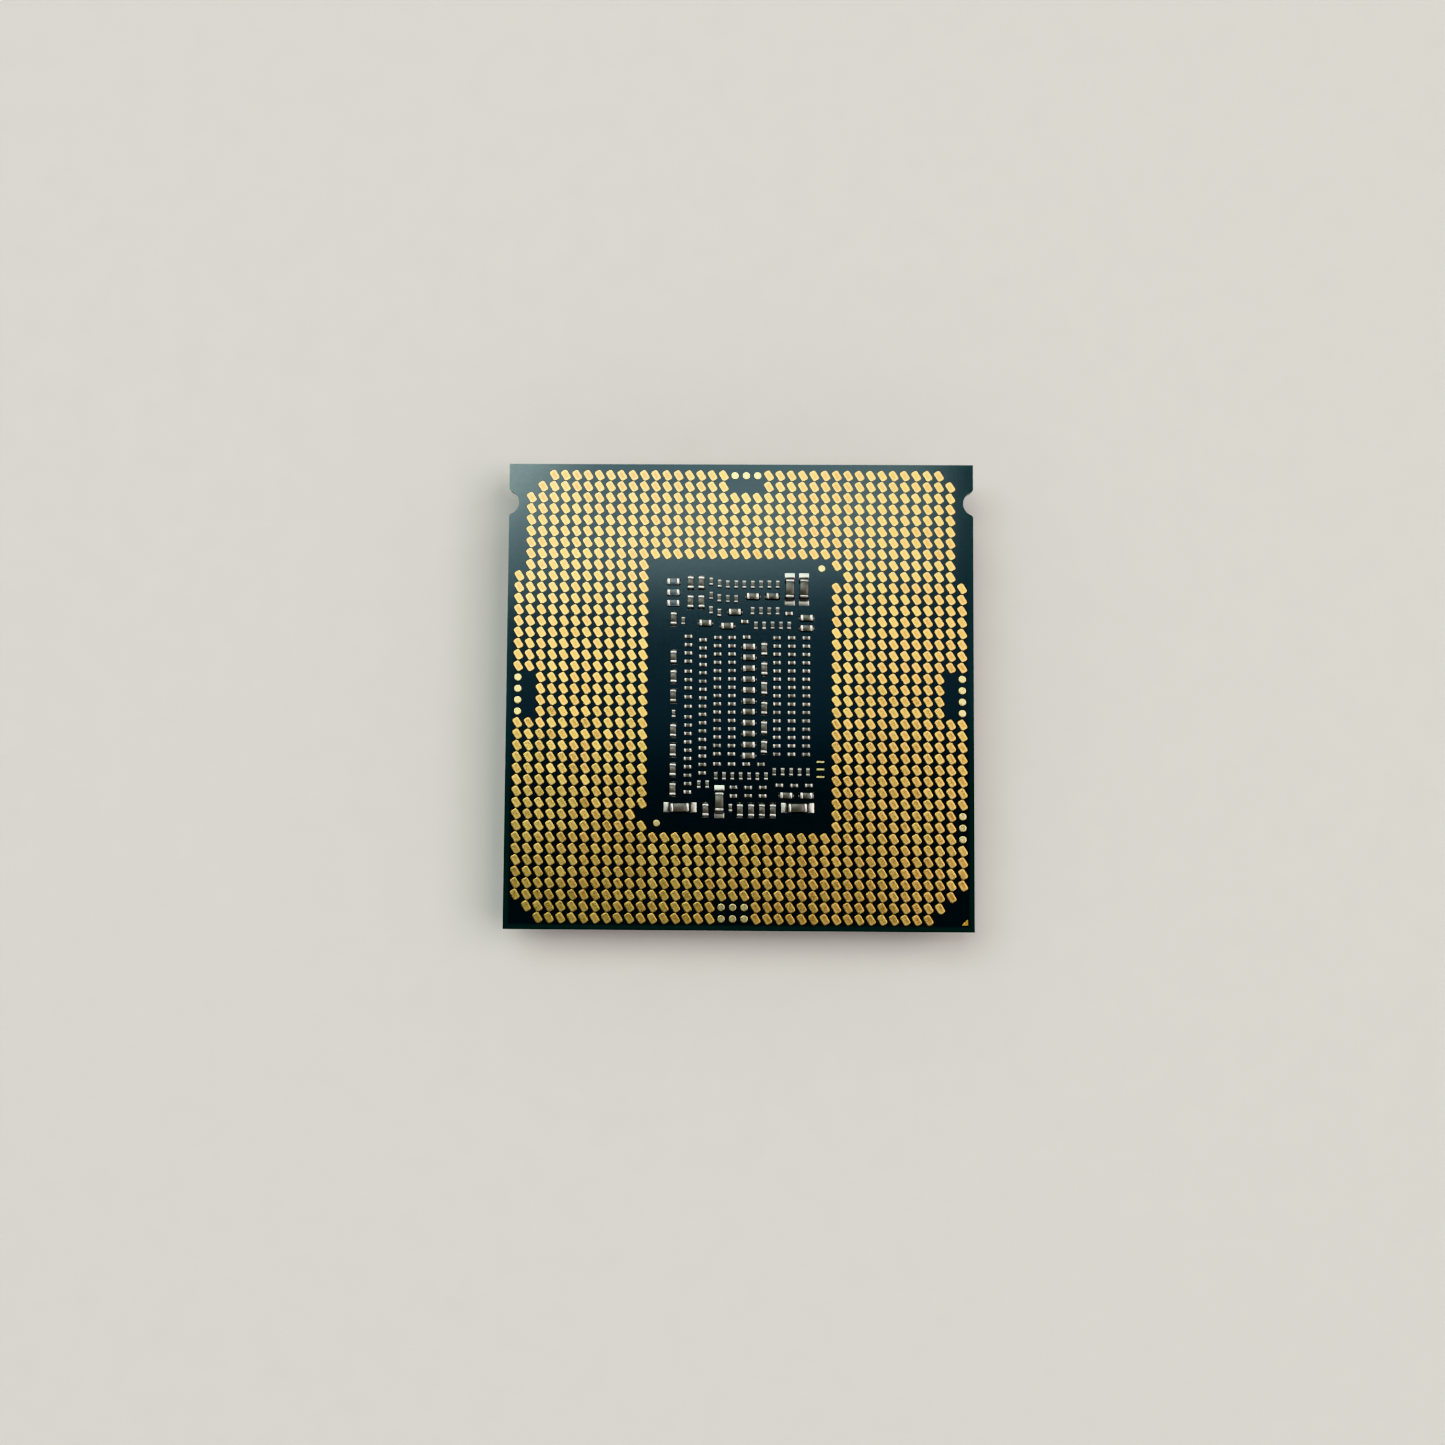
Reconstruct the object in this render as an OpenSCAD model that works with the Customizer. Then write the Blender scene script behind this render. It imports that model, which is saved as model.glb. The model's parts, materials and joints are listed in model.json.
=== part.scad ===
// Land-grid processor package, drawn with its contact lands facing up.
// The cooler face of the heat spreader lies on z = 0, and the package is centred on x = y = 0.
// All sizes are millimetres.

/* [Package] */
// Side of the square package
package_w = 37.5; // [37:0.5:42]
// Height from the cooler face to the contact face of the lands
package_h = 4.4; // [4.2:0.1:5]
// Radius of the key notch in the left and right edges
notch_r = 1.0; // [0.8:0.05:1.1]
// How far outside the package edge the notch centre lies
notch_out = 0.2; // [0.1:0.05:0.4]
// Height of the notches above the package centre
notch_y = 15.6; // [14.6:0.2:16]
// Radius that blends each notch into its edge
notch_blend_r = 0.3; // [0.1:0.05:0.4]
// Width of the border that the copper planes leave free
copper_inset = 0.38; // [0.2:0.02:0.5]

/* [Substrate layers] */
// Thickness of the glass-epoxy core
core_t = 0.45; // [0.4:0.05:0.8]
// Thickness of the build-up layers on each side of the core
buildup_t = 0.15; // [0.1:0.01:0.2]
// Thickness of each copper plane
plane_t = 0.02; // [0.01:0.005:0.03]
// Thickness of each solder mask over its copper
mask_t = 0.03; // [0.02:0.005:0.04]
// Spacing of the plated vias through the core
via_pitch = 3.2; // [3:0.1:6]
// Diameter of a plated via
via_d = 0.25; // [0.2:0.05:0.5]

/* [Lands] */
// Spacing of the land grid
land_pitch = 0.9144; // [0.85:0.0001:0.92]
// Length of a land
land_l = 0.84; // [0.7:0.01:0.86]
// Width of a land
land_w = 0.56; // [0.4:0.01:0.58]
// Length that is cut off each corner of a land
land_corner = 0.12; // [0.05:0.01:0.2]
// Lean of a land's long axis from the back edge towards the left
land_tilt = 31; // [25:1:35]
// Height of the lands above the solder mask
land_t = 0.02; // [0.01:0.005:0.05]
// Diameter of the round test pads
test_pad_d = 0.58; // [0.4:0.01:0.7]
// Diameter of the two alignment dots
dot_d = 0.54; // [0.4:0.01:0.7]
// Side of the corner marker that shows the first land
marker_w = 0.48; // [0.3:0.01:0.5]

/* [Heat spreader] */
// Width of the raised cooler face
face_w = 29.6; // [28:0.2:31]
// Depth of the raised cooler face
face_d = 31.2; // [29:0.2:32]
// Height of the raised cooler face above the flange
face_h = 1.35; // [1:0.05:1.6]
// Width of the flange between its ears
flange_w = 32.4; // [31.2:0.2:33]
// Depth of the flange
flange_d = 33.4; // [32.4:0.2:34]
// Width across the two ears that the socket presses on
ear_span = 35; // [34:0.1:36]
// Depth of each ear
ear_d = 23; // [20:0.5:26]
// Corner radius of the raised face
face_r = 1.5; // [0.8:0.1:2]
// Corner radius of the flange and its ears
flange_r = 1.2; // [0.8:0.1:1.8]
// Width of the cavity over the die
cavity_w = 25.6; // [22:0.2:26]
// Depth of the cavity over the die
cavity_d = 27.2; // [24:0.2:28]
// Thickness of the adhesive under the flange
seal_t = 0.1; // [0.08:0.01:0.15]
// Width of the adhesive bead
seal_w = 1.8; // [1:0.1:2]
// Length of the vent gap in the adhesive bead
vent_l = 3; // [1:0.5:6]

/* [Die] */
// Width of the silicon die
die_w = 9.2; // [7:0.1:12]
// Depth of the silicon die
die_d = 13.6; // [9:0.1:18]
// Thickness of the silicon die
die_t = 0.42; // [0.3:0.01:0.6]
// Height of the solder bumps under the die
bump_h = 0.07; // [0.05:0.01:0.1]
// Spacing of the solder bumps, coarser than on a real die
bump_pitch = 0.8; // [0.7:0.1:2]
// Diameter of a solder bump
bump_d = 0.3; // [0.2:0.05:0.5]
// Thickness of the thermal interface between the die and the heat spreader
interface_t = 0.1; // [0.05:0.01:0.15]
// How far the underfill runs out beyond the die
underfill_w = 0.9; // [0.5:0.1:1.5]

/* [Chips] */
// Length of the small chip capacitors
small_l = 0.58; // [0.55:0.01:0.6]
// Length of the medium chip capacitors and resistors
medium_l = 0.96; // [0.9:0.01:1]
// Length of the large chip capacitors
large_l = 1.46; // [1.4:0.01:1.6]
// Thickness of the solder under a chip's ends
solder_t = 0.02; // [0.01:0.005:0.03]

/* [Hidden] */
$fn = 48;
grid_n = 40;
skin = 0.01;

// Heights of the layers, from the cooler face up
substrate_t = core_t + 2 * (buildup_t + plane_t + mask_t);
mask_top_z = package_h - land_t;
substrate_z = mask_top_z - substrate_t;
lid_h = substrate_z - seal_t;
ceiling_z = substrate_z - bump_h - die_t - interface_t;
die_side_plane_z = substrate_z + mask_t;
die_side_buildup_z = die_side_plane_z + plane_t;
core_z = die_side_buildup_z + buildup_t;
land_side_buildup_z = core_z + core_t;
land_side_plane_z = land_side_buildup_z + buildup_t;
land_side_mask_z = land_side_plane_z + plane_t;

// Grid sites as [first column, last column, first row, last row], counted from the back left
EMPTY_SITES = [
    [13, 28, 9, 32],   // centre opening
    [1, 1, 1, 9],      // beside the left notch
    [2, 3, 1, 1],
    [2, 2, 2, 2],
    [40, 40, 1, 10],   // beside the right notch
    [39, 39, 1, 1],
    [20, 22, 2, 2],    // next to the test pads
    [2, 2, 19, 22],
    [39, 39, 19, 22],
    [1, 1, 39, 40],    // front left corner
    [2, 2, 40, 40],
    [40, 40, 38, 40],  // front right corner
    [39, 39, 39, 40],
    [38, 38, 40, 40],
    [29, 29, 10, 10],  // beside the two alignment dots
    [12, 12, 31, 31]
];
TEST_SITES = [
    [20, 22, 1, 1],
    [1, 1, 19, 22],
    [40, 40, 19, 22],
    [40, 40, 31, 33],
    [19, 21, 39, 40]
];

// Chip sizes: [length, width, height, length of a metal end, solder length overall, solder width]
SMALL = [small_l, 0.29, 0.28, 0.14, small_l + 0.14, 0.32];
MEDIUM = [medium_l, 0.48, 0.4, 0.21, medium_l + 0.28, 0.53];
LARGE = [large_l, 0.68, 0.6, 0.22, large_l + 1.18, 0.8];
RESISTOR = [medium_l, 0.48, 0.3, 0.2, medium_l + 0.16, 0.5];
// Spacing of the small chips in their rows and columns
small_step = 0.667;
medium_step = 0.873;
column_step = 1.17;
tall_step = 1.57;

// Chip places: [x, y, count, step in x, step in y, turn]
SMALL_PLACES = [
    [-4.12, 4.70, 4, 0, -small_step, 0],
    [-4.12, 1.88, 3, 0, -small_step, 0],
    [-4.12, -0.18, 2, 0, -0.75, 0],
    [-4.12, -1.77, 10, 0, -small_step, 0],
    [-2.95, 4.43, 17, 0, -small_step, 0],
    [-1.78, 4.62, 15, 0, -small_step, 0],
    [-0.62, 4.62, 15, 0, -small_step, 0],
    [2.99, 4.62, 15, 0, -small_step, 0],
    [4.16, 4.62, 15, 0, -small_step, 0],
    [5.33, 4.62, 15, 0, -small_step, 0],
    [0.55, 4.67, 1, 0, 0, 0],
    [-1.78, -5.53, 4, column_step, 0, 0],
    [-0.45, -7.38, 3, column_step, 0, 0],
    [-0.45, -8.05, 3, column_step, 0, 0],
    [3.22, -7.20, 3, column_step, 0, 0],
    [3.92, 6.58, 1, 0, 0, 0],
    [0.37, 5.92, 1, 0, 0, 0],
    [-2.33, 9.18, 3, 0, -1.16, 90],
    [-1.66, 9.01, 3, 0, -1.18, 90],
    [-0.99, 8.94, 7, small_step, 0, 90],
    [-0.99, 7.77, 2, small_step, 0, 90],
    [1.01, 6.80, 4, small_step, 0, 90],
    [1.28, 5.63, 5, small_step, 0, 90],
    [-4.55, 5.97, 1, 0, 0, 90],
    [-5.27, -1.50, 1, 0, 0, 90],
    [-1.87, -6.47, 7, small_step, 0, 90],
    [2.80, -6.12, 5, 0.673, 0, 90],
    [-3.21, -7.14, 2, small_step, 0, 90],
    [-0.68, -9.00, 1, 0, 0, 90]
];
MEDIUM_PLACES = [
    [0.75, 3.90, 11, 0, -medium_step, 0],
    [1.03, 7.98, 2, 1.58, 0, 0],
    [-0.42, 6.72, 1, 0, 0, 0],
    [-2.77, 5.80, 1, 0, 0, 0],
    [-1.00, 5.57, 1, 0, 0, 0],
    [5.35, 6.23, 2, 0, -0.82, 0],
    [3.78, -8.00, 2, 1.58, 0, 0],
    [-3.98, 9.06, 2, 0.87, 0, 90],
    [-3.98, 7.51, 2, 0.87, 0, 90],
    [-5.32, 6.14, 1, 0, 0, 90],
    [-5.30, 3.05, 3, 0, -tall_step, 90],
    [-5.30, -2.85, 4, 0, -tall_step, 90],
    [1.97, 3.70, 6, 0, -tall_step, 90],
    [-2.67, -9.17, 1, 0, 0, 90],
    [0.08, -9.20, 4, medium_step, 0, 90]
];
LARGE_PLACES = [
    [4.00, 8.58, 2, 1.14, 0, 90],
    [-1.57, -8.52, 1, 0, 0, 90],
    [-4.70, -8.99, 1, 0, 0, 0],
    [4.68, -8.99, 1, 0, 0, 0]
];
RESISTOR_PLACES = [
    [-5.37, 9.14, 3, 0, -0.87, 0]
];

// Alignment dots, and the plain bars beside the chips
DOT_PLACES = [[6.57, 10.27], [-6.57, -10.27]];
BAR_SIZE = [0.6, 0.14];
BAR_PLACES = [[6.5, -5.3], [6.5, -5.9], [6.5, -6.5]];
marker_at = 18.2;

// ---- Shapes that several parts share ----

function inside(box, column, row) =
    column >= box[0] && column <= box[1] && row >= box[2] && row <= box[3];
function listed(boxes, column, row) =
    len([for (box = boxes) if (inside(box, column, row)) 1]) > 0;
function site_x(column) = (column - (grid_n + 1) / 2) * land_pitch;
function site_y(row) = ((grid_n + 1) / 2 - row) * land_pitch;

// A block with true round corners, centred in x and y
module rounded_block(w, d, h, r) {
    translate([-w / 2 + r, -d / 2, 0]) cube([w - 2 * r, d, h]);
    translate([-w / 2, -d / 2 + r, 0]) cube([w, d - 2 * r, h]);
    for (x = [-1, 1], y = [-1, 1])
        translate([x * (w / 2 - r), y * (d / 2 - r), 0]) cylinder(h = h, r = r);
}

// The space that a key notch takes from the right edge, with its blended mouth
module notch_space(h, inset) {
    edge = package_w / 2 - inset;
    centre = package_w / 2 + notch_out;
    r = notch_r + inset;
    blend = max(notch_blend_r - inset, 0.05);
    mouth = sqrt(pow(r + blend, 2) - pow(centre - edge + blend, 2));
    translate([centre, notch_y, 0]) cylinder(h = h, r = r);
    difference() {
        linear_extrude(height = h)
            polygon([
                [centre, notch_y],
                [edge - blend, notch_y + mouth],
                [edge + 2, notch_y + mouth],
                [edge + 2, notch_y - mouth],
                [edge - blend, notch_y - mouth]
            ]);
        for (side = [-1, 1])
            translate([edge - blend, notch_y + side * mouth, -1]) cylinder(h = h + 2, r = blend);
    }
}

// A layer of the substrate: the package outline with both notches, set in by inset
module outline_plate(z, t, inset = 0) {
    side = package_w - 2 * inset;
    translate([0, 0, z])
        difference() {
            translate([-side / 2, -side / 2, 0]) cube([side, side, t]);
            for (flip = [0, 1])
                mirror([flip, 0, 0]) translate([0, 0, -1]) notch_space(t + 2, inset);
        }
}

// A plate that also fills the copper-free border beside the plane on one of its faces
module plate_round_plane(z, t, plane_z) {
    difference() {
        outline_plate(min(z, plane_z), t + plane_t);
        outline_plate(plane_z, plane_t, copper_inset);
    }
}

module land_outline() {
    x = land_w / 2;
    y = land_l / 2;
    c = land_corner;
    polygon([
        [x - c, -y], [x, c - y], [x, y - c], [x - c, y],
        [c - x, y], [-x, y - c], [-x, c - y], [c - x, -y]
    ]);
}

// All the lands in one box of grid sites
module lands(box) {
    color("gold")
        for (column = [box[0]:box[1]], row = [box[2]:box[3]])
            if (!listed(EMPTY_SITES, column, row) && !listed(TEST_SITES, column, row))
                translate([site_x(column), site_y(row), mask_top_z])
                    rotate([0, 0, land_tilt]) linear_extrude(height = land_t) land_outline();
}

module corner_marker() {
    linear_extrude(height = land_t)
        polygon([
            [marker_at, -marker_at],
            [marker_at, marker_w - marker_at],
            [marker_at - marker_w, -marker_at]
        ]);
}

// Puts its children at every place of a list
module at_places(places) {
    for (p = places, i = [0:p[2] - 1])
        translate([p[0] + i * p[3], p[1] + i * p[4], mask_top_z]) rotate([0, 0, p[5]]) children();
}

// The ceramic body of one chip, between its metal ends
module chip_body(size) {
    between = size[0] - 2 * size[3];
    translate([-between / 2, skin - size[1] / 2, solder_t + skin])
        cube([between, size[1] - 2 * skin, size[2] - 2 * skin]);
}

// The two metal ends of one chip
module chip_ends(size) {
    for (side = [0, 1])
        mirror([side, 0, 0])
            translate([size[0] / 2 - size[3], -size[1] / 2, solder_t]) cube([size[3], size[1], size[2]]);
}

// The two soldered pads under one chip
module chip_solder(size) {
    reach = size[3] + 0.04;
    for (side = [0, 1])
        mirror([side, 0, 0])
            translate([size[0] / 2 - reach, -size[5] / 2, 0])
                cube([(size[4] - size[0]) / 2 + reach, size[5], solder_t]);
}

module bump_field(h, d) {
    columns = floor((die_w - bump_pitch) / bump_pitch / 2);
    rows = floor((die_d - bump_pitch) / bump_pitch / 2);
    for (i = [-columns:columns], j = [-rows:rows])
        translate([i * bump_pitch, j * bump_pitch, 0]) cylinder(h = h, d = d, $fn = 16);
}

module via_field(h, d) {
    for (i = [-5:5], j = [-5:5])
        translate([i * via_pitch, j * via_pitch, 0]) cylinder(h = h, d = d, $fn = 16);
}

// ---- Lid, die and what joins them ----

module heat_spreader() {
    flange_h = lid_h - face_h;
    color("silver")
        difference() {
            union() {
                rounded_block(face_w, face_d, lid_h, face_r);
                translate([0, 0, face_h]) rounded_block(flange_w, flange_d, flange_h, flange_r);
                translate([0, 0, face_h]) rounded_block(ear_span, ear_d, flange_h, flange_r);
            }
            translate([0, 0, ceiling_z]) rounded_block(cavity_w, cavity_d, lid_h, flange_r);
        }
}

module lid_adhesive() {
    margin = 0.8;
    bead_w = flange_w - 2 * margin;
    bead_d = flange_d - 2 * margin;
    color([0.08, 0.08, 0.09])
        translate([0, 0, lid_h])
            difference() {
                rounded_block(bead_w, bead_d, seal_t, flange_r);
                translate([0, 0, -1])
                    rounded_block(bead_w - 2 * seal_w, bead_d - 2 * seal_w, seal_t + 2, flange_r);
                translate([-vent_l / 2, bead_d / 2 - seal_w - 1, -1]) cube([vent_l, seal_w + 2, seal_t + 2]);
            }
}

module thermal_interface() {
    color("gray")
        translate([-die_w / 2, -die_d / 2, ceiling_z]) cube([die_w, die_d, interface_t]);
}

module silicon_die() {
    color([0.25, 0.27, 0.32])
        translate([-die_w / 2, -die_d / 2, ceiling_z + interface_t]) cube([die_w, die_d, die_t]);
}

module underfill() {
    edge = 0.1;
    rise = bump_h + 0.6 * die_t;
    color([0.75, 0.7, 0.55])
        difference() {
            hull() {
                translate([-die_w / 2 - edge, -die_d / 2 - edge, substrate_z - rise])
                    cube([die_w + 2 * edge, die_d + 2 * edge, skin]);
                translate([-die_w / 2 - underfill_w, -die_d / 2 - underfill_w, substrate_z - skin])
                    cube([die_w + 2 * underfill_w, die_d + 2 * underfill_w, skin]);
            }
            translate([-die_w / 2, -die_d / 2, substrate_z - bump_h - die_t]) cube([die_w, die_d, die_t]);
            translate([0, 0, substrate_z - bump_h - 1]) bump_field(bump_h + 2, bump_d);
        }
}

module solder_bumps() {
    color("lightgray")
        translate([0, 0, substrate_z - bump_h]) bump_field(bump_h, bump_d);
}

// ---- Substrate ----

module die_side_solder_mask() {
    color([0.05, 0.25, 0.22])
        plate_round_plane(substrate_z, mask_t, die_side_plane_z);
}

module die_side_copper_plane() {
    color("peru")
        outline_plate(die_side_plane_z, plane_t, copper_inset);
}

module die_side_build_up() {
    color([0.55, 0.5, 0.3])
        outline_plate(die_side_buildup_z, buildup_t);
}

module substrate_core() {
    color([0.6, 0.62, 0.4])
        difference() {
            outline_plate(core_z, core_t);
            translate([0, 0, core_z - 1]) via_field(core_t + 2, via_d);
        }
}

module core_vias() {
    color("peru")
        translate([0, 0, core_z]) via_field(core_t, via_d);
}

module land_side_build_up() {
    color([0.55, 0.5, 0.3])
        outline_plate(land_side_buildup_z, buildup_t);
}

module land_side_copper_plane() {
    color("peru")
        outline_plate(land_side_plane_z, plane_t, copper_inset);
}

module land_side_solder_mask() {
    color([0.02, 0.16, 0.2])
        plate_round_plane(land_side_mask_z, mask_t, land_side_plane_z);
}

// ---- Gold features on the substrate ----

module test_pads() {
    color("gold")
        for (box = TEST_SITES, column = [box[0]:box[1]], row = [box[2]:box[3]])
            translate([site_x(column), site_y(row), mask_top_z]) cylinder(h = land_t, d = test_pad_d);
}

module alignment_dots() {
    color("gold")
        for (p = DOT_PLACES)
            translate([p[0], p[1], mask_top_z]) cylinder(h = land_t, d = dot_d);
}

module first_land_marker() {
    color("gold")
        translate([0, 0, mask_top_z]) corner_marker();
}

module lid_side_marker() {
    color("gold")
        translate([0, 0, substrate_z - land_t]) corner_marker();
}

module index_bars() {
    color("gold")
        for (p = BAR_PLACES)
            translate([p[0] - BAR_SIZE[0] / 2, p[1] - BAR_SIZE[1] / 2, mask_top_z])
                cube([BAR_SIZE[0], BAR_SIZE[1], land_t]);
}

// ---- Chips in the centre opening ----

module small_capacitor_bodies() {
    color([0.5, 0.46, 0.4]) at_places(SMALL_PLACES) chip_body(SMALL);
}

module small_capacitor_ends() {
    color("silver") at_places(SMALL_PLACES) chip_ends(SMALL);
}

module small_capacitor_solder() {
    color("lightgray") at_places(SMALL_PLACES) chip_solder(SMALL);
}

module medium_capacitor_bodies() {
    color([0.5, 0.46, 0.4]) at_places(MEDIUM_PLACES) chip_body(MEDIUM);
}

module medium_capacitor_ends() {
    color("silver") at_places(MEDIUM_PLACES) chip_ends(MEDIUM);
}

module medium_capacitor_solder() {
    color("lightgray") at_places(MEDIUM_PLACES) chip_solder(MEDIUM);
}

module large_capacitor_bodies() {
    color([0.5, 0.46, 0.4]) at_places(LARGE_PLACES) chip_body(LARGE);
}

module large_capacitor_ends() {
    color("silver") at_places(LARGE_PLACES) chip_ends(LARGE);
}

module large_capacitor_solder() {
    color("lightgray") at_places(LARGE_PLACES) chip_solder(LARGE);
}

module resistor_bodies() {
    color([0.15, 0.25, 0.35]) at_places(RESISTOR_PLACES) chip_body(RESISTOR);
}

module resistor_ends() {
    color("silver") at_places(RESISTOR_PLACES) chip_ends(RESISTOR);
}

module resistor_solder() {
    color("lightgray") at_places(RESISTOR_PLACES) chip_solder(RESISTOR);
}

heat_spreader();
lid_adhesive();
thermal_interface();
silicon_die();
underfill();
solder_bumps();
die_side_solder_mask();
die_side_copper_plane();
die_side_build_up();
substrate_core();
core_vias();
land_side_build_up();
land_side_copper_plane();
land_side_solder_mask();
lands([1, 12, 1, 8]);  // lands_back_left
lands([13, 28, 1, 8]);  // lands_back
lands([29, 40, 1, 8]);  // lands_back_right
lands([1, 12, 9, 20]);  // lands_left_rear
lands([1, 12, 21, 32]);  // lands_left_front
lands([29, 40, 9, 20]);  // lands_right_rear
lands([29, 40, 21, 32]);  // lands_right_front
lands([1, 12, 33, 40]);  // lands_front_left
lands([13, 28, 33, 40]);  // lands_front
lands([29, 40, 33, 40]);  // lands_front_right
test_pads();
alignment_dots();
first_land_marker();
lid_side_marker();
index_bars();
small_capacitor_bodies();
small_capacitor_ends();
small_capacitor_solder();
medium_capacitor_bodies();
medium_capacitor_ends();
medium_capacitor_solder();
large_capacitor_bodies();
large_capacitor_ends();
large_capacitor_solder();
resistor_bodies();
resistor_ends();
resistor_solder();
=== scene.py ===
"""Looks for a land grid processor: refined meshes, procedural materials, soft light, floor and camera."""

import json
import math
import random

import bmesh
import bpy
import numpy as np
from mathutils import Euler, Matrix, Vector


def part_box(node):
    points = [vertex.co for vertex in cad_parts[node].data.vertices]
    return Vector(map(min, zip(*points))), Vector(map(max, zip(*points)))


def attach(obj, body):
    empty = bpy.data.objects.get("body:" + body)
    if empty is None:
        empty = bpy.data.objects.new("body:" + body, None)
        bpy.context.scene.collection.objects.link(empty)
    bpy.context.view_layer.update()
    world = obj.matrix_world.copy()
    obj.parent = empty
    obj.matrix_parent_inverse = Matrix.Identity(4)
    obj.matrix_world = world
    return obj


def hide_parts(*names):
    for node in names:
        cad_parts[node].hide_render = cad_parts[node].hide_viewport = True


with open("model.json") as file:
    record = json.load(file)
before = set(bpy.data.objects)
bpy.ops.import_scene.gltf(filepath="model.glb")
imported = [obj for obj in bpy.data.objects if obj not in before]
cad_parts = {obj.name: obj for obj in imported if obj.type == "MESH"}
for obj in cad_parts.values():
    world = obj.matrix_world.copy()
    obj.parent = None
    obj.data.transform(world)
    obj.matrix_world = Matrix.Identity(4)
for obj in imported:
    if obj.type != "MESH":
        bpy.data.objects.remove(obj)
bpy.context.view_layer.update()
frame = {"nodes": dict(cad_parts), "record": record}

# A millimetre and the gap below which two points are one, in metres.
MM = 0.001
SAME_POINT = 0.001 * MM
BODY = "root"

# Places that several parts share, in millimetres.
MASK_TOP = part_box("land_side_solder_mask")[1].z / MM
HALF_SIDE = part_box("land_side_solder_mask")[1].x / MM
COPPER_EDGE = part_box("land_side_copper_plane")[1].x / MM
LAND_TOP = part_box("test_pads")[1].z / MM
NOTCH_CENTRE = (18.95, 15.6)
NOTCH_RADIUS = 1.0

# Lands and round pads, in millimetres and degrees. The dish and the wobble are what sets one land apart
# from the next.
LAND_NODES = [name for name in sorted(frame["nodes"]) if name.startswith("lands_")]
LAND_CORNER = 0.17
LAND_SINK = 0.004
LAND_DISHES = (0.0012, 0.002, 0.0028)
LAND_WOBBLE = 0.35
PAD_DISH = 0.0015
PAD_WOBBLE = 0.3

# Chips: how far each is out of place and out of true, in millimetres and degrees, then shares of a
# chip's height.
CHIP_KINDS = ("small_capacitor", "medium_capacitor", "large_capacitor", "resistor")
CHIP_SHIFT = 0.006
CHIP_TIP = 0.7
CHIP_TURN = 0.8
BODY_ROUND = 0.06
GLAZED_BODY_ROUND = 0.04
END_ROUND = 0.13
GLAZE_THICKNESS = 0.10

# Solder round a chip's metal ends: two lengths in millimetres, the fillet's share of the pad's margin, its
# climb as a share of the end's height and of its own reach, and the crown's share of the flat shelf.
LONGEST_FILLET = 0.30
PAD_EDGE = 0.03
FILLET_SHARE = 0.9
CLIMB_SHARE = 0.6
CLIMB_PER_REACH = 1.3
CROWN_SHARE = 0.08

# Rounds on the edges of CAD nodes, in millimetres.
EDGE_ROUNDS = {
    "heat_spreader": 0.25,
    "land_side_solder_mask": 0.008,
    "die_side_solder_mask": 0.008,
    "substrate_core": 0.01,
    "first_land_marker": 0.006,
    "lid_side_marker": 0.006,
    "index_bars": 0.006,
}

# The studio, in metres. The horizon's colour fades into the ceiling's between two heights, where 0 is
# level and 1 is straight up.
LAMP_DISTANCE = 8.0
FLOOR_SIZE = 24.0
HORIZON = (0.70, 0.70, 0.68, 1.0)
CEILING = (0.022, 0.020, 0.019, 1.0)
FADE_HEIGHTS = (0.3, 0.8)

# The camera: its tilt in degrees, then the point it aims at and its distance from it in millimetres.
CAMERA_TILT = (3.377, 0.780, 0.373)
CAMERA_AIM = (-1.35, -2.19, LAND_TOP)
CAMERA_DISTANCE = 112.55

# Where a colour Mix node keeps its share, its two colours and its result.
MIX_SHARE, MIX_FIRST, MIX_SECOND, MIX_RESULT = 0, 6, 7, 2


# ---- Reading the CAD solids ----


def solids(node):
    """The corner points of every separate solid of a CAD node, in millimetres, one array per solid."""
    mesh = bmesh.new()
    mesh.from_mesh(frame["nodes"][node].data)
    bmesh.ops.remove_doubles(mesh, verts=mesh.verts, dist=SAME_POINT)
    found = []
    seen = set()
    for start in mesh.verts:
        if start in seen:
            continue
        seen.add(start)
        waiting = [start]
        points = []
        while waiting:
            vertex = waiting.pop()
            points.append(vertex.co / MM)
            for edge in vertex.link_edges:
                other = edge.other_vert(vertex)
                if other not in seen:
                    seen.add(other)
                    waiting.append(other)
        found.append(np.array(points))
    mesh.free()
    return found


def centre_of(points):
    """The middle of the box round some points."""
    return (points.min(axis=0) + points.max(axis=0)) / 2


def lean_and_size(points):
    """The angle of a flat solid's long axis from +Y, and its width and length across that axis."""
    flat = points[:, :2] - centre_of(points)[:2]
    spread, directions = np.linalg.eigh(np.cov(flat.T))
    along = directions[:, np.argmax(spread)]
    along = along if along[1] > 0 else -along
    across = np.array([along[1], -along[0]])
    angle = math.atan2(-along[0], along[1])
    return angle, float(np.ptp(flat @ across)), float(np.ptp(flat @ along))


# ---- Mesh making ----


class Shape:
    """A small closed mesh in millimetres that is stamped at many places. Each point carries a rim value."""

    def __init__(self):
        self.points = []
        self.rims = []
        self.faces = []

    def ring(self, outline, z, rim=0.0):
        """Adds a closed ring of points and returns their numbers."""
        first = len(self.points)
        self.points += [(x, y, z) for x, y in outline]
        self.rims += [rim] * len(outline)
        return list(range(first, first + len(outline)))

    def join(self, lower, upper):
        """Joins two rings of as many points by a band of faces."""
        for i, point in enumerate(lower):
            j = (i + 1) % len(lower)
            self.faces.append((point, lower[j], upper[j], upper[i]))

    def top(self, ring):
        self.faces.append(tuple(ring))

    def bottom(self, ring):
        self.faces.append(tuple(reversed(ring)))

    def add(self, other, flip=False):
        """Adds another shape, or its mirror image across x = 0."""
        first = len(self.points)
        side = -1 if flip else 1
        self.points += [(side * x, y, z) for x, y, z in other.points]
        self.rims += other.rims
        for face in other.faces:
            numbers = [first + i for i in face]
            self.faces.append(tuple(reversed(numbers) if flip else numbers))


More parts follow.
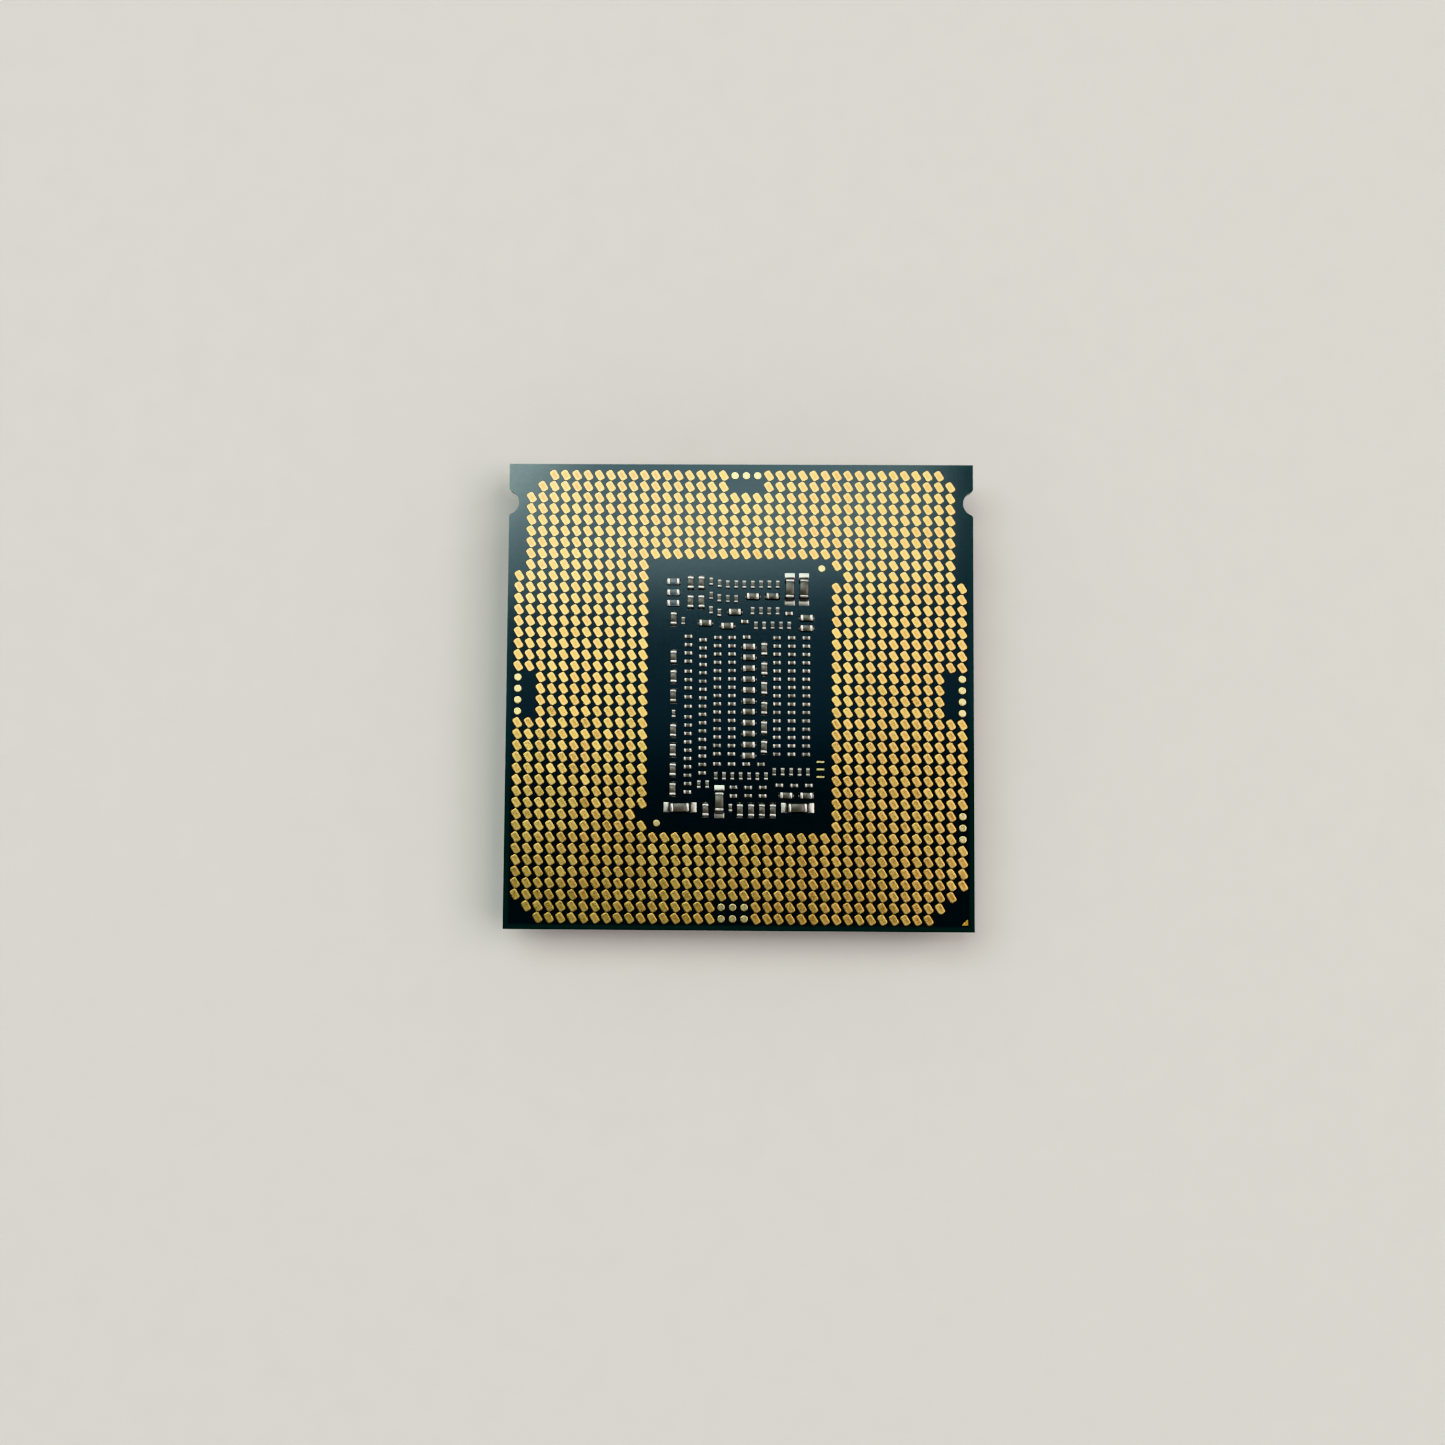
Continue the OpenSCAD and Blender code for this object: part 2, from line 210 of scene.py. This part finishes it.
def rounded_outline(width, length, radius, steps=4):
    """A rounded rectangle round the origin, counter-clockwise, as (x, y) points."""
    points = []
    for side_x, side_y, start in ((1, 1, 0), (-1, 1, 90), (-1, -1, 180), (1, -1, 270)):
        for i in range(steps):
            angle = math.radians(start + 90 * i / (steps - 1))
            x = side_x * (width / 2 - radius) + radius * math.cos(angle)
            y = side_y * (length / 2 - radius) + radius * math.sin(angle)
            points.append((x, y))
    return points


def stamped(name, stamps, material, seed):
    """One mesh object of many shapes.

    A stamp is a shape, its place in millimetres and its (tip, roll, turn) in radians."""
    draws = random.Random(seed)
    points = []
    rims = []
    tints = []
    faces = []
    first = 0
    for shape, place, angles in stamps:
        turn = np.array(Euler(angles).to_matrix())
        points.append(np.array(shape.points) @ turn.T + place)
        rims += shape.rims
        tints += [draws.random()] * len(shape.points)
        faces += [tuple(first + i for i in face) for face in shape.faces]
        first += len(shape.points)
    mesh = bpy.data.meshes.new(name)
    mesh.from_pydata((np.concatenate(points) * MM).tolist(), [], faces)
    mesh.polygons.foreach_set("use_smooth", [True] * len(faces))
    for attribute, values in (("rim", rims), ("tint", tints)):
        mesh.attributes.new(attribute, "FLOAT", "POINT").data.foreach_set("value", values)
    mesh.materials.append(material)
    piece = bpy.data.objects.new(name, mesh)
    bpy.context.scene.collection.objects.link(piece)
    return piece


def stand_for(piece, node):
    """Lets a refined piece stand for a CAD node."""
    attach(piece, BODY)
    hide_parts(node)


# ---- Materials ----


class Look:
    """One procedural material: a Principled shader and the nodes that feed it. Lengths are millimetres."""

    def __init__(self, name, **values):
        self.material = bpy.data.materials.new(name)
        self.material.use_nodes = True
        self.tree = self.material.node_tree
        self.shader = self.tree.nodes["Principled BSDF"]
        for socket, value in values.items():
            self.set(socket.replace("_", " "), value)
        coordinates = self.add("ShaderNodeTexCoord")
        self.point = self.add(
            "ShaderNodeVectorMath", {0: coordinates.outputs["Object"], "Scale": 1 / MM}, operation="SCALE"
        ).outputs[0]

    def set(self, socket, value):
        """Gives one of the shader's sockets a value or an output."""
        self.feed(self.shader.inputs[socket], value)

    def feed(self, socket, value):
        """Links a node's output to a socket, or sets the socket's own value."""
        if isinstance(value, bpy.types.NodeSocket):
            self.tree.links.new(value, socket)
        elif socket.type == "RGBA" and len(value) == 3:
            socket.default_value = (*value, 1.0)
        else:
            socket.default_value = value

    def add(self, kind, inputs=None, **settings):
        """Adds a node with its settings, and feeds its inputs."""
        node = self.tree.nodes.new(kind)
        for name, value in settings.items():
            setattr(node, name, value)
        for name, value in (inputs or {}).items():
            self.feed(node.inputs[name], value)
        return node

    def noise(self, size, detail=2.0, roughness=0.5):
        """Soft noise from 0 to 1, with features of about that size."""
        inputs = {"Vector": self.point, "Scale": 1 / size, "Detail": detail, "Roughness": roughness}
        return self.add("ShaderNodeTexNoise", inputs).outputs["Fac"]

    def attribute(self, name):
        return self.add("ShaderNodeAttribute", attribute_name=name).outputs["Fac"]

    def math(self, operation, first, second=0.0):
        return self.add("ShaderNodeMath", {0: first, 1: second}, operation=operation).outputs[0]

    def between(self, value, low, high, to_low=0.0, to_high=1.0):
        """Maps low..high to to_low..to_high, smoothly, and holds it there outside."""
        inputs = {"Value": value, "From Min": low, "From Max": high, "To Min": to_low, "To Max": to_high}
        return self.add("ShaderNodeMapRange", inputs, interpolation_type="SMOOTHSTEP").outputs[0]

    def mix(self, share, first, second):
        """The first colour, with that share of the second."""
        node = self.add("ShaderNodeMix", data_type="RGBA")
        self.feed(node.inputs[MIX_SHARE], share)
        self.feed(node.inputs[MIX_FIRST], first)
        self.feed(node.inputs[MIX_SECOND], second)
        return node.outputs[MIX_RESULT]

    def axis(self, name):
        return self.add("ShaderNodeSeparateXYZ", {0: self.point}).outputs[name]

    def bump(self, height, depth):
        """Relief whose height of 1 stands for depth millimetres."""
        inputs = {"Height": height, "Distance": depth * MM}
        self.set("Normal", self.add("ShaderNodeBump", inputs).outputs[0])


def shaded(colour, share):
    """A colour darkened to a share of itself."""
    return tuple(share * part for part in colour)


def gold(name, pale, warm, rim_colour, roughness):
    """Plated gold. The rim attribute is 1 on a land's flat rim, 0 in its dish and -1 on its outer wall."""
    look = Look(name, Metallic=1.0)
    rim = look.attribute("rim")
    drift = look.between(look.noise(7.0, 1.0), 0.35, 0.65)
    own_tint = look.math("MULTIPLY", look.attribute("tint"), 0.55)
    tint = look.math("ADD", own_tint, look.math("MULTIPLY", drift, 0.45))
    cloud = look.noise(0.3, 2.0)
    field = look.mix(look.between(tint, 0.2, 0.85), pale, warm)
    field = look.mix(look.between(cloud, 0.45, 0.75, 0.0, 0.25), field, shaded(warm, 0.8))
    colour = look.mix(rim, field, rim_colour)
    # Painted shade: the outer wall, where the rim value falls below 0, is darkened to 0.6 of the warm gold.
    colour = look.mix(look.between(rim, 0.0, -1.0), colour, shaded(warm, 0.6))
    speck = look.between(look.noise(0.14, 1.0), 0.78, 0.88, 0.0, 0.5)
    look.set("Base Color", look.mix(speck, colour, (0.24, 0.13, 0.04)))
    look.set("Roughness", look.between(cloud, 0.3, 0.7, roughness - 0.02, roughness + 0.02))
    return look.material


def edge_distance(look):
    """How far inside the package outline a point lies, in millimetres, with the notches cut out."""
    x = look.math("ABSOLUTE", look.axis("X"))
    y = look.axis("Y")
    from_x = look.math("SUBTRACT", HALF_SIDE, x)
    from_y = look.math("SUBTRACT", HALF_SIDE, look.math("ABSOLUTE", y))
    notch_x = look.math("SUBTRACT", x, NOTCH_CENTRE[0])
    notch_y = look.math("SUBTRACT", y, NOTCH_CENTRE[1])
    squares = look.math("ADD", look.math("POWER", notch_x, 2.0), look.math("POWER", notch_y, 2.0))
    from_notch = look.math("SUBTRACT", look.math("SQRT", squares), NOTCH_RADIUS)
    return look.math("MINIMUM", look.math("MINIMUM", from_x, from_y), from_notch)


def solder_mask():
    """Green-blue lacquer, dark over the copper plane and greener in the bare border."""
    look = Look("solder_mask", Specular_IOR_Level=0.86, Specular_Tint=(0.60, 0.80, 1.0))
    border = HALF_SIDE - COPPER_EDGE
    inner = look.between(edge_distance(look), border - 0.05, border + 0.05)
    mottle = look.noise(0.5, 4.0, roughness=0.6)
    copper_backed = look.mix(mottle, (0.0006, 0.0018, 0.0026), (0.0015, 0.0042, 0.0052))
    bare = look.mix(mottle, (0.0003, 0.006, 0.005), (0.001, 0.014, 0.011))
    look.set("Base Color", look.mix(inner, bare, copper_backed))
    look.set("Roughness", look.between(look.noise(0.12, 2.0), 0.3, 0.7, 0.11, 0.14))
    look.bump(look.noise(0.35, 2.0), 0.0004)
    return look.material


def ceramic():
    """Dark fired ceramic, a little different from chip to chip."""
    look = Look("capacitor_ceramic", Roughness=0.30, Specular_IOR_Level=1.0)
    grain = look.noise(0.04, 2.0)
    colour = look.mix(look.attribute("tint"), (0.065, 0.064, 0.052), (0.120, 0.115, 0.098))
    look.set("Base Color", look.mix(grain, look.mix(0.25, colour, (0.0, 0.0, 0.0)), colour))
    look.bump(grain, 0.001)
    return look.material


def glazed_ceramic():
    """White ceramic under a dark blue glaze. The rim attribute is 1 on the glaze."""
    look = Look("resistor_glaze", Roughness=0.18, Specular_IOR_Level=1.0)
    grain = look.noise(0.06, 2.0)
    glaze = look.mix(grain, (0.045, 0.080, 0.115), (0.090, 0.140, 0.185))
    look.set("Base Color", look.mix(look.attribute("rim"), (0.42, 0.44, 0.44), glaze))
    look.bump(look.noise(0.14, 1.0), 0.006)
    return look.material


def tin():
    """Plated tin, duller on some of the chips."""
    look = Look("tin_plate", Metallic=1.0)
    cloud = look.noise(0.12, 2.0)
    bright = look.mix(cloud, (0.67, 0.66, 0.66), (0.77, 0.76, 0.75))
    tin_dullness_and_solder_shade = look.between(look.attribute("tint"), 0.0, 0.4, 0.55, 0.0)
    look.set("Base Color", look.mix(tin_dullness_and_solder_shade, bright, (0.34, 0.34, 0.33)))
    look.set("Roughness", look.between(cloud, 0.3, 0.7, 0.28, 0.38))
    look.bump(look.noise(0.06, 2.0), 0.0015)
    return look.material


def solder():
    """Bright where it lies flat, and painted dark as shade in the hollow against a chip.

    The rim attribute is 1 where it lies flat."""
    look = Look("solder", Metallic=1.0)
    cloud = look.noise(0.14, 2.0)
    bright = look.mix(cloud, (0.56, 0.56, 0.54), (0.68, 0.68, 0.66))
    tin_dullness_and_solder_shade = look.mix(cloud, (0.11, 0.11, 0.11), (0.18, 0.18, 0.175))
    # Painted shade: where the rim value falls to 0, in the hollow against the chip, the solder takes the
    # dark colour.
    look.set("Base Color", look.mix(look.attribute("rim"), tin_dullness_and_solder_shade, bright))
    look.set("Roughness", look.between(cloud, 0.3, 0.7, 0.30, 0.38))
    look.bump(cloud, 0.0004)
    return look.material


def nickel():
    """Satin nickel plate with a fine grain."""
    look = Look("nickel_plate", Metallic=1.0)
    broad = look.noise(6.0, 3.0)
    grain = look.noise(0.08, 4.0)
    look.set("Base Color", look.mix(broad, (0.50, 0.485, 0.46), (0.58, 0.565, 0.54)))
    look.set("Roughness", look.between(grain, 0.3, 0.7, 0.28, 0.40))
    look.bump(grain, 0.004)
    return look.material


def glass_epoxy():
    """The cut edge of a woven laminate: pale yarn ends in olive resin."""
    look = Look("glass_epoxy", Roughness=0.5)
    along = look.math("DIVIDE", look.math("ADD", look.axis("X"), look.axis("Y")), 0.46)
    across = look.math("DIVIDE", look.axis("Z"), 0.10)
    cut = look.add("ShaderNodeCombineXYZ", {0: along, 1: across}).outputs[0]
    yarns = look.add("ShaderNodeTexVoronoi", {"Vector": cut, "Scale": 1.0, "Randomness": 0.45})
    fibres = look.noise(0.02, 2.0)
    yarn = look.between(yarns.outputs["Distance"], 0.30, 0.55, 1.0, 0.0)
    resin = look.mix(look.noise(0.8, 2.0), (0.16, 0.16, 0.065), (0.24, 0.23, 0.11))
    look.set("Base Color", look.mix(yarn, resin, look.mix(fibres, (0.34, 0.34, 0.20), (0.46, 0.45, 0.30))))
    look.bump(look.math("ADD", yarn, look.math("MULTIPLY", fibres, 0.5)), 0.004)
    return look.material


def grainy(name, dark, light, size, **values):
    """A plain fine-grained surface."""
    look = Look(name, **values)
    grain = look.noise(size, 3.0)
    look.set("Base Color", look.mix(grain, dark, light))
    look.bump(grain, 0.003)
    return look.material


MATERIALS = {
    "gold_plate": gold("gold_plate", (0.94, 0.65, 0.16), (0.88, 0.50, 0.12), (1.0, 0.79, 0.42), 0.28),
    "solder_mask": solder_mask(),
    "capacitor_ceramic": ceramic(),
    "resistor_glaze": glazed_ceramic(),
    "tin_plate": tin(),
    "solder": solder(),
    "nickel_plate": nickel(),
    "glass_epoxy": glass_epoxy(),
    "build_up_resin": grainy(
        "build_up_resin", (0.085, 0.075, 0.03), (0.15, 0.13, 0.06), 0.03, Roughness=0.5
    ),
    "copper": grainy("copper", (0.60, 0.28, 0.16), (0.80, 0.42, 0.27), 0.1, Metallic=1.0, Roughness=0.35),
    "lid_adhesive": grainy("lid_adhesive", (0.010, 0.010, 0.011), (0.03, 0.03, 0.032), 0.2, Roughness=0.55),
    "interface_metal": grainy(
        "interface_metal", (0.4, 0.4, 0.42), (0.55, 0.55, 0.57), 0.2, Metallic=1.0, Roughness=0.5
    ),
    "silicon": grainy("silicon", (0.05, 0.055, 0.07), (0.08, 0.085, 0.11), 1.0, Roughness=0.12),
    "underfill_resin": grainy("underfill_resin", (0.25, 0.18, 0.08), (0.36, 0.28, 0.14), 0.4, Roughness=0.3),
}
# The round pads and the plain marks look paler than the lands.
PALE_GOLD = gold("pale_gold_plate", (0.98, 0.88, 0.50), (0.95, 0.82, 0.42), (0.90, 0.78, 0.46), 0.28)


# ---- Lands, pads and marks ----


def land_shape(width, length, radius, dish, steps=4):
    """A land with a slightly raised rim round a shallow dish."""
    height = LAND_TOP - MASK_TOP
    # Each ring's inset from the outline, its height and its rim value, from the foot of the wall inwards.
    # A rim value below 0 marks the outer wall, which the gold colour paints darker as shade.
    levels = (
        (0.0, 0.0, -1.0),
        (0.004, 0.55 * height, -1.0),
        (0.018, 0.88 * height, -0.5),
        (0.042, height - 0.0005, 0.4),
        (0.07, height, 1.0),
        (0.10, height - 0.0004, 0.9),
        (0.14, height - 0.25 * dish, 0.55),
        (0.18, height - 0.58 * dish, 0.25),
        (0.22, height - 0.82 * dish, 0.08),
        (0.26, height - 0.96 * dish, 0.0),
    )
    shape = Shape()
    rings = []
    for inset, z, rim in levels:
        half = min(width, length) / 2 - inset
        # The inner rings keep round corners that never quite meet.
        corner = min(max(radius - inset, 0.55 * half), 0.98 * half)
        outline = rounded_outline(width - 2 * inset, length - 2 * inset, corner, steps)
        rings.append(shape.ring(outline, z, rim))
    rings.append(shape.ring([(0.4 * x, 0.4 * y) for x, y in outline], height - dish))
    for lower, upper in zip(rings, rings[1:]):
        shape.join(lower, upper)
    shape.top(rings[-1])
    shape.bottom(rings[0])
    return shape


def plated(node, shapes, angle, material, wobble):
    """Stamps a land shape at each solid of a CAD node, each one tipped a little differently."""
    draws = random.Random(node)
    tip = math.radians(wobble)
    stamps = []
    for points in solids(node):
        x, y, _ = centre_of(points)
        angles = (draws.gauss(0, tip), draws.gauss(0, tip), angle)
        stamps.append((draws.choice(shapes), (x, y, MASK_TOP - LAND_SINK), angles))
    piece = stamped(node + "_plated", stamps, material, node)
    stand_for(piece, node)


def build_lands():
    """Every contact land, region by region."""
    for node in LAND_NODES:
        lean, width, length = lean_and_size(solids(node)[0])
        shapes = [land_shape(width, length, LAND_CORNER, dish) for dish in LAND_DISHES]
        plated(node, shapes, lean, MATERIALS["gold_plate"], LAND_WOBBLE)


def build_round_pads():
    """The round test pads and alignment dots."""
    for node in ("test_pads", "alignment_dots"):
        width = float(np.ptp(solids(node)[0][:, 0]))
        shape = land_shape(width, width, width / 2, PAD_DISH, steps=8)
        plated(node, [shape], 0.0, PALE_GOLD, PAD_WOBBLE)


# ---- Chips ----


def rounded_block(low, high, radius, segments=2):
    """A block with rounded edges."""
    mesh = bmesh.new()
    bmesh.ops.create_cube(mesh, size=1.0)
    bmesh.ops.scale(mesh, vec=Vector(high) - Vector(low), verts=mesh.verts)
    bmesh.ops.translate(mesh, vec=(Vector(low) + Vector(high)) / 2, verts=mesh.verts)
    bmesh.ops.bevel(
        mesh, geom=list(mesh.edges), offset=radius, segments=segments, profile=0.5, affect="EDGES"
    )
    mesh.verts.index_update()
    shape = Shape()
    shape.points = [tuple(vertex.co) for vertex in mesh.verts]
    shape.rims = [0.0] * len(shape.points)
    shape.faces = [tuple(vertex.index for vertex in face.verts) for face in mesh.faces]
    mesh.free()
    return shape


def nearest(centre, candidates):
    """The solid whose centre lies nearest to a point."""
    return min(candidates, key=lambda points: np.linalg.norm(centre_of(points)[:2] - centre))


def chip_layout(kind):
    """The (x, y, turn) of every chip of a kind, and one chip's body, end and pad boxes.

    The boxes are measured from the chip's foot, with its length along X."""
    bodies = solids(kind + "_bodies")
    ends = solids(kind + "_ends")
    pads = solids(kind + "_solder")
    layout = []
    for points in bodies:
        centre = centre_of(points)[:2]
        offset = np.abs(centre_of(nearest(centre, ends))[:2] - centre)
        layout.append((*centre, 0.0 if offset[0] > offset[1] else math.pi / 2))
    centre = np.array(layout[0][:2])

    def own_box(points):
        flat = points - (*centre, MASK_TOP)
        if layout[0][2]:
            flat = flat[:, [1, 0, 2]]
        low, high = flat.min(axis=0), flat.max(axis=0)
        if low[0] + high[0] < 0:
            low[0], high[0] = -high[0], -low[0]
        return low, high

    return layout, own_box(bodies[0]), own_box(nearest(centre, ends)), own_box(nearest(centre, pads))


def both_sides(half):
    """A shape and its mirror image across x = 0, as one."""
    whole = Shape()
    whole.add(half)
    whole.add(half, flip=True)
    return whole


def spaced(low, wall, reach, high):
    """Coordinates from low to high, close together where a fillet climbs a wall and at the pad's edge."""
    climb = [wall + reach * (step / 6) ** 1.6 for step in range(7)]
    climb = [value for value in climb if value < high - 2 * PAD_EDGE]
    return [low, wall - 0.004] + climb + [high - PAD_EDGE, high - 0.3 * PAD_EDGE, high]


def close_sheet(shape, grid, base_z):
    """Gives a shape's grid of points its faces, and walls down to a flat bottom."""
    for first, second in zip(grid, grid[1:]):
        for j in range(len(first) - 1):
            shape.faces.append((first[j], second[j], second[j + 1], first[j + 1]))
    outer = [numbers[0] for numbers in grid] + grid[-1][1:]
    outer += [numbers[-1] for numbers in grid[-2::-1]] + grid[0][-2:0:-1]
    base = shape.ring([shape.points[number][:2] for number in outer], base_z)
    shape.join(base, outer)
    shape.bottom(base)


def solder_shape(end, pad):
    """One soldered pad: a thin plate whose solder climbs the chip's metal end in a hollow curve."""
    end_x, end_y = end[1][:2]
    pad_low, (pad_x, pad_y, pad_top) = pad
    reach_x = min(LONGEST_FILLET, FILLET_SHARE * (pad_x - end_x))
    reach_y = FILLET_SHARE * (pad_y - end_y)
    climb = min(CLIMB_SHARE * (end[1][2] - end[0][2]), CLIMB_PER_REACH * reach_x)
    shelf_x = (end_x + 0.7 * reach_x + pad_x) / 2
    shelf_half = pad_x - shelf_x
    crown = CROWN_SHARE * shelf_half
    columns = spaced(pad_low[0], end_x, reach_x, pad_x)
    half_rows = spaced(0.0, end_y, reach_y, pad_y)
    rows = [-y for y in reversed(half_rows[1:])] + half_rows
    shape = Shape()
    grid = []
    for x in columns:
        numbers = []
        for y in rows:
            away = math.hypot(max(0.0, x - end_x) / reach_x, max(0.0, abs(y) - end_y) / reach_y)
            hollow = 1 - math.sqrt(1 - (1 - away) ** 2) if away < 1 else 0.0
            border = min(1.0, (pad_x - x) / PAD_EDGE, (pad_y - abs(y)) / PAD_EDGE)
            plate = (pad_top - pad_low[2]) * (0.25 + 0.75 * math.sqrt(border))
            across = 1 - (y / pad_y) ** 2
            along = 1 - ((x - shelf_x) / shelf_half) ** 2
            bulge = max(0.0, crown * min(1.0, away) * across * along)
            numbers.append(len(shape.points))
            shape.points.append((x, y, pad_low[2] + plate + climb * hollow + bulge))
            # The rim value falls to 0 in the hollow against the chip, where the solder's colour is painted
            # dark as shade.
            shape.rims.append(min(1.0, max(0.0, 4 * away - 3)))
        grid.append(numbers)
    close_sheet(shape, grid, pad_low[2])
    return shape


def glaze_shape(body):
    """A resistor's glaze: a low rounded pillow on top of its body."""
    body_x, body_y, top = body[1]
    half_x = 0.96 * body_x
    half_y = 0.90 * body_y
    lift = GLAZE_THICKNESS * (top - body[0][2])
    shape = Shape()
    rings = []
    for inset, share in ((0.0, 0.0), (0.02, 0.6), (0.05, 0.9), (0.10, 1.0)):
        outline = rounded_outline(2 * (half_x - inset), 2 * (half_y - inset), 0.05)
        rings.append(shape.ring(outline, top - lift + lift * share, 1.0))
    for lower, upper in zip(rings, rings[1:]):
        shape.join(lower, upper)
    shape.top(rings[-1])
    shape.bottom(rings[0])
    return shape


def build_chips():
    """Every chip: its body, its metal ends and its soldered pads. Only the pads lie exactly in place."""
    for kind in CHIP_KINDS:
        draws = random.Random(kind)
        layout, body, end, pad = chip_layout(kind)
        height = end[1][2] - end[0][2]
        tip = 0.0 if kind == "large_capacitor" else math.radians(CHIP_TIP)
        body_shape = rounded_block(*body, BODY_ROUND * height)
        ceramic_slot = "capacitor_ceramic"
        if kind == "resistor":
            ceramic_slot = "resistor_glaze"
            glaze_foot = body[1] - (0, 0, GLAZE_THICKNESS * height)
            body_shape = rounded_block(body[0], glaze_foot, GLAZED_BODY_ROUND * height)
            body_shape.add(glaze_shape(body))
        end_shape = both_sides(rounded_block(*end, END_ROUND * height, segments=3))
        joint_shape = both_sides(solder_shape(end, pad))
        chips = []
        joints = []
        for x, y, turn in layout:
            tips = (draws.gauss(0, tip), draws.gauss(0, tip))
            own_turn = turn + math.radians(draws.gauss(0, CHIP_TURN))
            place = (x + draws.gauss(0, CHIP_SHIFT), y + draws.gauss(0, CHIP_SHIFT), MASK_TOP)
            chips.append((place, (*tips, own_turn)))
            joints.append((joint_shape, (x, y, MASK_TOP), (0.0, 0.0, turn)))
        for part, shape, slot in (("bodies", body_shape, ceramic_slot), ("ends", end_shape, "tin_plate")):
            stamps = [(shape, place, angles) for place, angles in chips]
            piece = stamped(f"{kind}_{part}_formed", stamps, MATERIALS[slot], kind)
            stand_for(piece, f"{kind}_{part}")
        piece = stamped(f"{kind}_solder_joints", joints, MATERIALS["solder"], kind)
        stand_for(piece, f"{kind}_solder")


# ---- CAD nodes that keep their shape ----


def dress_cad_nodes():
    """Gives every CAD node its slot's material, and the ones with crisp metal edges a small round."""
    slots = {row["node"]: row["material_slot"] for row in frame["record"]["subparts"]}
    for node, piece in frame["nodes"].items():
        piece.data.materials.clear()
        piece.data.materials.append(MATERIALS[slots[node]])
    for node in ("index_bars", "lid_side_marker"):
        frame["nodes"][node].data.materials[0] = PALE_GOLD
    for node, radius in EDGE_ROUNDS.items():
        piece = frame["nodes"][node]
        weld = piece.modifiers.new("weld", "WELD")
        weld.merge_threshold = SAME_POINT
        bevel = piece.modifiers.new("round", "BEVEL")
        bevel.width = radius * MM
        bevel.segments = 3
        bevel.limit_method = "ANGLE"
        bevel.angle_limit = math.radians(40)


# ---- Stage ----


def stage_floor():
    """A plain pale floor under the cooler face."""
    look = Look("floor", Roughness=0.7)
    grain = look.noise(3.0, 2.0)
    look.set("Base Color", look.mix(grain, (0.79, 0.77, 0.77), (0.82, 0.80, 0.80)))
    bpy.ops.mesh.primitive_plane_add(size=FLOOR_SIZE, location=(0, 0, 0))
    floor = bpy.context.object
    floor.name = "floor"
    floor.data.materials.append(look.material)


def softbox(name, azimuth, lean, side, brightness, colour):
    """A rectangular light that faces the package.

    All sizes are angles in degrees, as the package sees them. azimuth turns from +Y towards +X. lean is the
    (nearest, furthest) edge measured from straight up. side is the (left, right) edge measured from the
    azimuth. brightness is the radiance of the light's face."""
    tilt = math.radians(sum(lean) / 2)
    turn = math.radians(azimuth)
    back = Vector((math.sin(tilt) * math.sin(turn), math.sin(tilt) * math.cos(turn), math.cos(tilt)))
    right = Vector((math.cos(turn), -math.sin(turn), 0.0))
    left_edge, right_edge = (LAMP_DISTANCE * math.tan(math.radians(angle)) for angle in side)
    light = bpy.data.lights.new(name, "AREA")
    light.shape = "RECTANGLE"
    light.size = right_edge - left_edge
    light.size_y = 2 * LAMP_DISTANCE * math.tan(math.radians((lean[1] - lean[0]) / 2))
    light.energy = math.pi * brightness * light.size * light.size_y
    light.color = colour
    lamp = bpy.data.objects.new(name, light)
    place = back * LAMP_DISTANCE + right * (left_edge + right_edge) / 2
    facing = Matrix((right, back.cross(right), back)).transposed().to_4x4()
    lamp.matrix_world = Matrix.Translation(place) @ facing
    bpy.context.scene.collection.objects.link(lamp)


def stage_world():
    """A pale surround that darkens overhead, as under a ceiling."""
    world = bpy.data.worlds.new("studio")
    world.use_nodes = True
    nodes = world.node_tree.nodes
    links = world.node_tree.links
    direction = nodes.new("ShaderNodeTexCoord").outputs["Generated"]
    height = nodes.new("ShaderNodeSeparateXYZ")
    links.new(direction, height.inputs[0])
    share = nodes.new("ShaderNodeMapRange")
    share.interpolation_type = "SMOOTHSTEP"
    share.inputs["From Min"].default_value = FADE_HEIGHTS[0]
    share.inputs["From Max"].default_value = FADE_HEIGHTS[1]
    links.new(height.outputs["Z"], share.inputs["Value"])
    blend = nodes.new("ShaderNodeMix")
    blend.data_type = "RGBA"
    blend.inputs[MIX_FIRST].default_value = HORIZON
    blend.inputs[MIX_SECOND].default_value = CEILING
    links.new(share.outputs[0], blend.inputs[MIX_SHARE])
    links.new(blend.outputs[MIX_RESULT], nodes["Background"].inputs["Color"])
    bpy.context.scene.world = world


def stage_light():
    """The room that gold and lacquer reflect: a wide window behind, small panes, and a wall at the right."""
    softbox("back_window", -3, (8.9, 42), (-42, 9.5), 2.6, (0.88, 1.0, 0.90))
    softbox("back_glow", -3, (2.5, 8.9), (-40, 30), 0.48, (0.98, 1.0, 1.0))
    softbox("warm_pane", -10, (10, 12.8), (-3, 10), 1.3, (1.0, 0.86, 0.50))
    softbox("corner_pane", -36, (15.5, 20), (-6, 2.5), 6.0, (1.0, 0.92, 0.66))
    softbox("right_wall", 88, (17, 56), (-24, 18), 2.9, (1.0, 0.89, 0.82))


def stage_camera():
    """The photograph's view: almost straight down, from a little in front of the package."""
    camera = bpy.data.cameras.new("camera")
    camera.lens = 35.0
    camera.sensor_width = 36.0
    camera.clip_start = 0.005
    camera.clip_end = 20.0
    eye = bpy.data.objects.new("camera", camera)
    eye.rotation_euler = [math.radians(angle) for angle in CAMERA_TILT]
    back = eye.rotation_euler.to_matrix() @ Vector((0, 0, 1))
    eye.location = (Vector(CAMERA_AIM) + back * CAMERA_DISTANCE) * MM
    bpy.context.scene.collection.objects.link(eye)
    bpy.context.scene.camera = eye


stage_camera()
stage_floor()
stage_world()
stage_light()
dress_cad_nodes()
build_lands()
build_round_pads()
build_chips()

# This transform keeps the colour of bright gold, which others wash out.
bpy.context.scene.view_settings.view_transform = "Khronos PBR Neutral"
